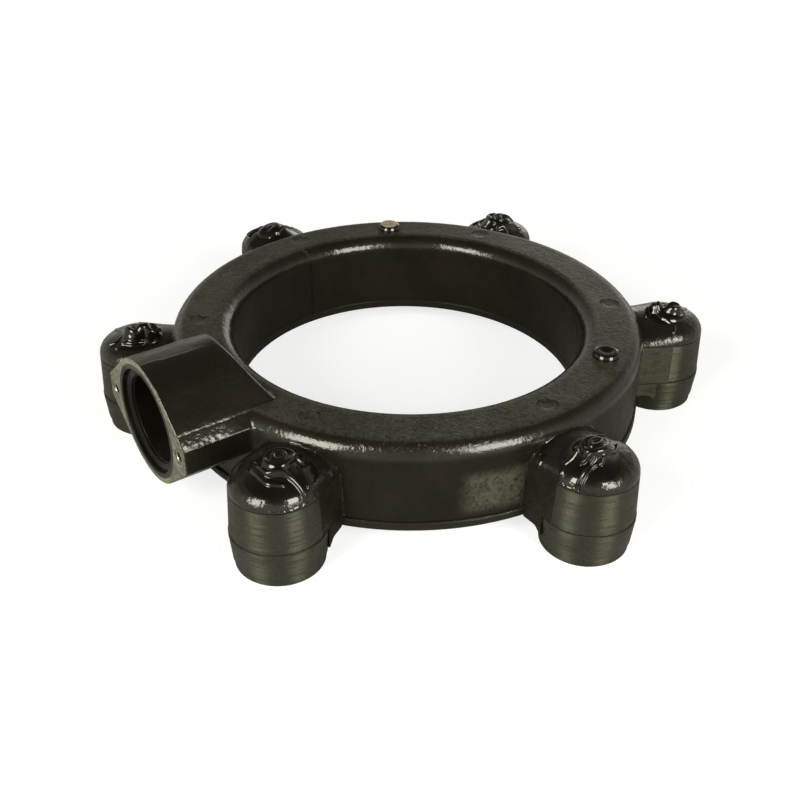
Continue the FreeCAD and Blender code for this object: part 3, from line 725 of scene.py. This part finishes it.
# mounds: outward, along, radius, height; ridges: half width, height, then points outward and along; all mm
knotForms = {
    1: {
        "mounds": ((-2, 3, 15, 7.6), (6, 10, 24, 1.8)),
        "ridges": (
            (3.0, 3.0, (-10, 10), (-12, 2), (-6, -6), (4, -7), (8, 0), (7, 8), (-1, 11), (-10, 10)),
            (2.6, 2.6, (-4, 6), (-6, 2), (-2, -2), (3, 1), (2, 6), (-4, 6)),
            (2.2, 3.4, (4, -16), (8.3, -11.7), (12, -4), (13.8, 2.6), (10, 9), (8.3, 13.8), (9, 20),
             (10.7, 25.7), (15, 36.5)),
            (2.4, 2.0, (8, -17), (11.9, -13.5), (17.3, -2.9), (20.3, 6), (19.1, 10.8), (17, 18)),
            (1.9, 2.4, (-19, 15), (-20, 10), (-15, 7), (-11, 12), (-13, 17.5), (-19, 15)),
            (2.4, 2.2, (-14, -6), (-8, -13), (2, -16), (10, -15)),
            (1.8, 1.4, (-29, 20), (-28, 30), (-26.4, 38)),
            (2.0, 1.6, (-4, 18), (0, 26), (6, 33)),
        ),
    },
    2: {
        "mounds": ((3, -3, 14, 8.4), (8, -14, 20, 2.0)),
        "ridges": (
            (2.9, 2.8, (-5, 4), (-5, -6), (0, -13), (7, -12), (10.5, -5), (9, 4), (2, 8), (-5, 4)),
            (2.4, 2.6, (0, 2), (0, -5), (4, -8), (6, -3), (4, 2), (0, 2)),
            (2.0, 3.0, (4, 22), (9.1, 16.1), (13, 8), (12.8, 0), (10.3, -8.8), (8, -15), (7.8, -22.4)),
            (1.2, 2.2, (11.5, -11.8), (13.6, -20), (15.7, -29.4), (17, -35)),
            (1.2, 2.1, (15.8, -13.5), (16.3, -21), (18.5, -29.4), (21, -34)),
            (2.1, 2.4, (-4, -10), (-2.9, -17), (-2.3, -22.7), (-3.1, -30.5), (1.7, -37.7)),
            (1.6, 1.8, (13, 4), (15, -2), (14.7, -6), (18, -11)),
            (1.7, 1.2, (-32, -8), (-31.6, -16), (-31, -24), (-30.3, -32)),
            (1.5, 1.0, (-26, -30), (-25, -34), (-24.6, -38)),
            (1.8, 1.6, (-10, 8), (-14, 16), (-12, 26)),
        ),
    },
    3: {
        "mounds": ((-9, 0, 6.5, 8.6), (7, -3, 8.0, 7.4), (0, -2, 16, 2.4)),
        "ridges": (
            (3.2, 2.4, (4, 7), (14, 6), (19, -1), (16, -11), (6, -16), (-4, -14), (-7, -6), (-3, 3), (4, 7)),
            (2.2, 2.8, (-9, 13), (-13.6, 7.4), (-19, 0), (-21.6, -9.4)),
            (2.0, 2.2, (-8, 9), (2, 13), (13, 11), (22, 14)),
            (2.6, 2.0, (0, -4), (6, -8), (12, -4), (8, 1), (0, -4)),
            (1.6, 1.0, (17, 3), (25, 8), (29, 17)),
            (1.8, 1.6, (-3, -17), (2, -25), (0, -33)),
        ),
    },
    4: {
        "mounds": ((-2, -2, 17, 10.8), (-10, 10, 12, 2.2)),
        "ridges": (
            (2.0, 2.9, (-20, 10), (-10.8, 4.7), (-3, 9), (6, 5), (13, 8)),
            (1.9, 2.6, (-17, 14), (-12.3, 17.5), (-4, 19), (6, 15), (12, 19)),
            (2.2, 3.0, (-8, -6), (-0.8, -3), (6, -8), (11.8, -12.7), (18, -12)),
            (1.8, 2.4, (-18, -6), (-9, -13.7), (0, -17), (5, -22), (8, -27)),
            (1.7, 2.3, (-14, -2), (-6, 2), (2, 1), (10, -3), (16, 0)),
            (1.5, 2.0, (-24, 2), (-18, -2), (-13, -9), (-14, -18)),
            (1.4, 1.9, (14, -6), (20, -2), (19, 6), (24, 12)),
            (1.5, 1.7, (0, 12), (3, 22), (-2, 30)),
        ),
    },
    5: {
        "mounds": ((-6, 1, 24, 5.4), (-6, 1, 12, 5.6), (9, 14, 14, 2.2)),
        "ridges": (
            (4.2, 1.5, (-11, 12), (-8, 2), (2, 0), (6, 9), (-2, 16), (-11, 12)),
            (2.5, 2.2, (8, 10), (10.4, 14.5), (13, 22), (10.9, 28)),
            (2.3, 2.0, (-16, 6), (-12.2, 0.2), (-8, -9), (-4.3, -17.3), (2, -24)),
            (1.7, 1.5, (19, 2), (27.4, 12), (25, 23)),
            (1.8, 1.6, (4, -6), (14, -8), (22, -4)),
        ),
    },
    6: {
        "mounds": ((3, 8, 10, 10.5), (-11, 8, 8.5, 11.5), (4, 0, 22, 1.6)),
        "ridges": (
            (3.0, 2.2, (10, 1), (8.2, 6), (3, 12), (-3, 14), (-2, 6), (3, 1), (10, 1)),
            (2.6, 2.3, (-16, 10), (-13, 4), (-8, 5), (-8, 11), (-13, 13), (-16, 10)),
            (1.9, 1.3, (24, -20), (23.8, -13.4), (17, -4), (14, 5), (20, 11), (28.5, 12.6)),
            (2.3, 2.3, (-20, -3), (-9, -8), (3, -8), (12, -13)),
            (1.7, 1.1, (-2, -12), (4, -20), (2, -29)),
            (1.8, 1.7, (-6, 18), (4, 20), (14, 17), (20, 22)),
        ),
    },
}


def smoothPath(points, spacing):
    # points along a smooth curve through the given ones
    ends = [points[0]] + list(points) + [points[-1]]
    if points[0] == points[-1]:
        ends = [points[-2]] + list(points) + [points[1]]
    path = []
    for before, start, end, after in zip(ends, ends[1:], ends[2:], ends[3:]):
        before, start, end, after = (np.array(point, float) for point in (before, start, end, after))
        count = max(2, int(np.linalg.norm(end - start) / spacing))
        for index in range(count):
            t = index / count
            path.append(0.5 * (2 * start + (end - before) * t
                               + (2 * before - 5 * start + 4 * end - after) * t ** 2
                               + (3 * start - before - 3 * end + after) * t ** 3))
    path.append(np.array(points[-1], float))
    return path


def ridgeHeights(across, along, halfWidth, height, *points):
    # a rounded ridge that swells and fades towards its ends, unless it closes on itself
    path = smoothPath([(u * mm, v * mm) for u, v in points], knots["sample"])
    closed = points[0] == points[-1]
    heights = np.zeros_like(across)
    for index, (u, v) in enumerate(path):
        share = index / (len(path) - 1)
        swell = 1 + knots["swell"] * math.sin(knots["swellTurn"] * share + height)
        fromEnd = math.sin(math.pi * min(max(share, 0.004), 0.996))
        fade = 1 if closed else min(1, knots["endSlope"] * fromEnd ** knots["endPower"])
        width = halfWidth * mm * (knots["endWidth"] + (1 - knots["endWidth"]) * fade) * swell
        near = 1 - ((across - u) ** 2 + (along - v) ** 2) / width ** 2
        heights = np.maximum(heights, height * mm * fade * np.clip(near, 0, 1) ** knots["ridgePower"])
    return heights


def evened(grid, known, passes):
    # average with the neighbours, over the known places only
    for _ in range(passes):
        total = np.zeros_like(grid)
        count = np.zeros_like(grid)
        for shiftU, shiftV in ((0, 0), (0, 1), (0, -1), (1, 0), (-1, 0)):
            moved = np.roll(np.where(known, grid, 0), (shiftU, shiftV), (0, 1))
            total += moved
            count += np.roll(known, (shiftU, shiftV), (0, 1))
        grid = np.where(known, total / np.maximum(count, 1), 0)
    return grid


def knotRise(across, along, form):
    # how far the sheet stands above the dome
    mounds = np.zeros_like(across)
    for u, v, radius, height in form["mounds"]:
        away = ((across - u * mm) ** 2 + (along - v * mm) ** 2) / (radius * mm) ** 2
        mounds += height * mm * np.exp(-(away ** knots["moundPower"]) * knots["moundFall"])
    ridges = np.zeros_like(across)
    for ridge in form["ridges"]:
        heights = ridgeHeights(across, along, *ridge)
        ridges = np.maximum(ridges, heights) + knots["crossing"] * np.minimum(ridges, heights)
    everywhere = np.ones_like(across, bool)
    return evened(mounds + ridges, everywhere, 1) - knots["sink"]


def domeUnder(outlet, across, along, wanted):
    # the dome's height at the wanted places, evened so that its facets don't show, and where it is known
    dome = np.zeros_like(across)
    known = np.zeros_like(across, bool)
    for i, j in zip(*np.nonzero(wanted)):
        above = outletPoint(outlet, across[i, j], along[i, j], knots["castFrom"])
        place = shellTree.ray_cast(above, (0, 0, -1))[0]
        if place is not None and place.z > springHeight - knots["domeDrop"]:
            dome[i, j] = place.z
            known[i, j] = True
    return evened(dome, known, knots["evenPasses"]), known


def makeKnot(outlet, form):
    ticks = np.arange(-knots["reach"], knots["reach"], knots["step"])
    across, along = np.meshgrid(ticks, ticks, indexing="ij")
    rise = knotRise(across, along, form)
    wanted = rise > -0.6 * knots["sink"]      # where the sheet leaves the dome, and a little round it
    for _ in range(2):
        sideways = np.roll(wanted, 1, 0) | np.roll(wanted, -1, 0)
        wanted |= sideways | np.roll(wanted, 1, 1) | np.roll(wanted, -1, 1)
    dome, known = domeUnder(outlet, across, along, wanted)

    centre = springHeight - knots["centreDrop"]
    vertices = []
    numbers = {}
    for i, j in zip(*np.nonzero(known)):
        away = Vector((across[i, j], along[i, j], dome[i, j] - centre))
        lifted = away * (1 + rise[i, j] / away.length)
        numbers[i, j] = len(vertices)
        vertices.append(outletPoint(outlet, lifted.x, lifted.y, lifted.z + centre))
    faces = []
    for i, j in numbers:
        corners = [(i, j), (i + 1, j), (i + 1, j + 1), (i, j + 1)]
        if all(corner in numbers for corner in corners) and any(rise[corner] > 0 for corner in corners):
            faces.append([numbers[corner] for corner in corners])
    name = "crown_knot_%d" % outlet
    mesh = bpy.data.meshes.new(name)
    mesh.from_pydata(vertices, [], faces)
    mesh.validate()
    mesh.shade_smooth()
    mesh.materials.append(pouredCoat)
    knot = bpy.data.objects.new(name, mesh)
    scene.collection.objects.link(knot)
    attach(knot, "root")
    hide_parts("crown_knots")
    print(name, len(faces), "faces")


shell = nodes["manifold_shell"]
shellTree = BVHTree.FromPolygons([vertex.co for vertex in shell.data.vertices],
                                 [face.vertices for face in shell.data.polygons])
for outlet, form in knotForms.items():
    makeKnot(outlet, form)
print("knots made")


# beads of coating that the pour left along the root of each neck

bead = {
    "radius": 1.25,               # mm
    "uneven": 0.28,               # share that its radius swells and thins by
    "wobbles": (1.7, 0.61),       # radians from point to point, of the two waves that it does so in
    "proud": 0.5 * mm,
    "low": 9.6 * mm,              # height of its lower ends
    "spring": 48.3 * mm,          # where the neck's sides turn into its crown
    "rise": 26.0 * mm,            # of that crown
    "knuckle": 18.0 * mm,         # round between the two
    "sideSteps": 16,
    "archSteps": 34,
    "round": 15.0 * mm,           # of the ring's outer edge
}


def neckArch():
    # points (along, height) up one side of a neck, over its crown and down the other side
    half = creaseRadius
    reach = half - bead["knuckle"]
    crown = (bead["knuckle"] ** 2 - reach ** 2 - bead["rise"] ** 2) / (2 * (bead["knuckle"] - bead["rise"]))
    centre = bead["spring"] + bead["rise"] - crown
    lean = math.atan2(reach, bead["spring"] - centre)
    side = []
    for step in range(bead["sideSteps"]):
        share = step / bead["sideSteps"]
        side.append((hoodRadius + (half - hoodRadius) * share,
                     bead["low"] + (bead["spring"] - bead["low"]) * share))
    for step in range(bead["archSteps"] + 1):
        turn = math.pi / 2 * step / bead["archSteps"]
        if turn < math.pi / 2 - lean:
            side.append((reach + bead["knuckle"] * math.cos(turn),
                         bead["spring"] + bead["knuckle"] * math.sin(turn)))
        else:
            side.append((crown * math.cos(turn), centre + crown * math.sin(turn)))
    return side + [(-along, height) for along, height in reversed(side[:-1])]


def ringWall(height):
    # radius of the ring's outside at a height
    up = height - (ringTop - bead["round"])
    if up <= 0:
        return ringRadius
    return ringRadius - bead["round"] + math.sqrt(max(bead["round"] ** 2 - up ** 2, 0))


def makeBead(outlet):
    name = "neck_bead_%d" % outlet
    curve = bpy.data.curves.new(name, "CURVE")
    curve.dimensions = "3D"
    curve.bevel_depth = mm
    curve.bevel_resolution = 3
    curve.resolution_u = 3
    curve.use_fill_caps = True
    arch = neckArch()
    quick, slow = bead["wobbles"]
    spline = curve.splines.new("NURBS")
    spline.points.add(len(arch) - 1)
    for index, (point, (along, height)) in enumerate(zip(spline.points, arch)):
        outward = math.sqrt(ringWall(height) ** 2 - along ** 2) - outletRadius + bead["proud"]
        along *= 1 + bead["proud"] / hoodRadius
        wobble = math.sin(index * quick + outlet) + math.sin(index * slow + 2 * outlet)
        place = outletPoint(outlet, outward, along, height)
        point.co = (*place, 1)
        point.radius = bead["radius"] * (1 + bead["uneven"] * wobble / 2)
    spline.order_u = 4
    spline.use_endpoint_u = True
    curve.materials.append(pouredCoat)
    beadObject = bpy.data.objects.new(name, curve)
    scene.collection.objects.link(beadObject)
    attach(beadObject, "root")


for outlet in range(1, outletCount + 1):
    makeBead(outlet)
print("beads made")


# the photo's camera over a white floor, with two soft boxes in front

studio = {
    "lens": 46.985,
    "cameraPlace": (0.73175, -0.54010, 0.57764),
    "cameraTurn": 143.986,        # degrees from +X to the way it looks
    "cameraDip": 33.267,
    "cameraRoll": 0.587,
    "floorSize": 16.0,
    "floorDrop": 0.1 * mm,        # below the part
    "floorColour": 0.45,
    "floorGlow": 0.72,            # near the object, for the camera alone
    "glowNear": 0.35,             # that far from the axis the glow starts to grow
    "glowFar": 1.1,               # and here the floor is white
    "boxDistance": 2.4,
    "boxes": (                    # azimuth and elevation in degrees, width and height, power in watts
        (13, 27, 1.0, 1.3, 54.0),
        (92, 24, 1.0, 1.3, 52.0),
        (215, 12, 1.2, 0.8, 3.0),              # a weak one behind
    ),
    "boxColour": (1.0, 0.99, 0.88),
    "sky": ((0.0, 0.6), (0.35, 0.4), (0.5, 0.2), (0.68, 0.09), (1.0, 0.04)),     # height and grey
    "skyTint": (1, 0.95, 0.86),
}


def direction(azimuth, elevation):
    turn, lift = math.radians(azimuth), math.radians(elevation)
    return Vector((math.sin(turn) * math.cos(lift), -math.cos(turn) * math.cos(lift), math.sin(lift)))


def makeFloor():
    half = studio["floorSize"] / 2
    mesh = bpy.data.meshes.new("studioFloor")
    corners = [(-half, -half), (half, -half), (half, half), (-half, half)]
    height = cadLow.z - studio["floorDrop"]
    mesh.from_pydata([(x, y, height) for x, y in corners], [], [(0, 1, 2, 3)])
    floor = bpy.data.objects.new("studioFloor", mesh)
    scene.collection.objects.link(floor)
    n = Nodes("floorWhite")
    far, _, _ = n.polar()
    white = studio["floorColour"]
    n.shader.inputs["Emission Color"].default_value = (1, 1, 1, 1)
    rays = n.add("ShaderNodeLightPath").outputs
    glow = n.blend(n.rise(far, studio["glowNear"], studio["glowFar"]), studio["floorGlow"], 1.0)
    n.link(n.times(glow, rays["Is Camera Ray"]), n.shader.inputs["Emission Strength"])
    mesh.materials.append(n.finish((white, white, white), 1.0, gloss=0.0))


def makeSoftbox(azimuth, elevation, width, height, power):
    data = bpy.data.lights.new("softbox", "AREA")
    data.shape = "RECTANGLE"
    data.size = width
    data.size_y = height
    data.energy = power
    data.color = studio["boxColour"]
    lamp = bpy.data.objects.new("softbox", data)
    scene.collection.objects.link(lamp)
    toLamp = direction(azimuth, elevation)
    lamp.location = toLamp * studio["boxDistance"]
    lamp.rotation_mode = "QUATERNION"
    lamp.rotation_quaternion = toLamp.to_track_quat("Z", "Y")


def makeWorld():
    # pale down to the horizon and below, dark overhead, white behind the object for the camera
    world = bpy.data.worlds.new("studioWorld")
    scene.world = world
    world.use_nodes = True
    tree = world.node_tree
    background = tree.nodes["Background"]
    place = tree.nodes.new("ShaderNodeTexCoord")
    split = tree.nodes.new("ShaderNodeSeparateXYZ")
    ramp = tree.nodes.new("ShaderNodeValToRGB")
    tree.links.new(place.outputs["Generated"], split.inputs[0])
    tree.links.new(split.outputs["Z"], ramp.inputs["Fac"])
    elements = ramp.color_ramp.elements
    while len(elements) < len(studio["sky"]):
        elements.new(0.5)
    for element, (height, grey) in zip(elements, studio["sky"]):
        element.position = height
        element.color = (*(grey * part for part in studio["skyTint"]), 1)
    rays = tree.nodes.new("ShaderNodeLightPath")
    choose = tree.nodes.new("ShaderNodeMix")
    choose.data_type = "RGBA"
    tree.links.new(rays.outputs["Is Camera Ray"], choose.inputs["Factor"])
    tree.links.new(ramp.outputs["Color"], choose.inputs["A"])
    choose.inputs["B"].default_value = (1, 1, 1, 1)
    tree.links.new(choose.outputs["Result"], background.inputs["Color"])


def makeCamera():
    data = bpy.data.cameras.new("photoCamera")
    data.lens = studio["lens"]
    data.sensor_width = 36
    camera = bpy.data.objects.new("photoCamera", data)
    scene.collection.objects.link(camera)
    turn, dip = math.radians(studio["cameraTurn"]), math.radians(studio["cameraDip"])
    look = Vector((math.cos(turn) * math.cos(dip), math.sin(turn) * math.cos(dip), -math.sin(dip)))
    aim = look.to_track_quat("-Z", "Y").to_matrix().to_4x4()
    roll = Matrix.Rotation(math.radians(studio["cameraRoll"]), 4, "Z")
    camera.matrix_world = Matrix.Translation(Vector(studio["cameraPlace"])) @ aim @ roll
    scene.camera = camera


makeFloor()
for softbox in studio["boxes"]:
    makeSoftbox(*softbox)
makeWorld()
makeCamera()
scene.view_settings.view_transform = "Standard"
print("studio made")
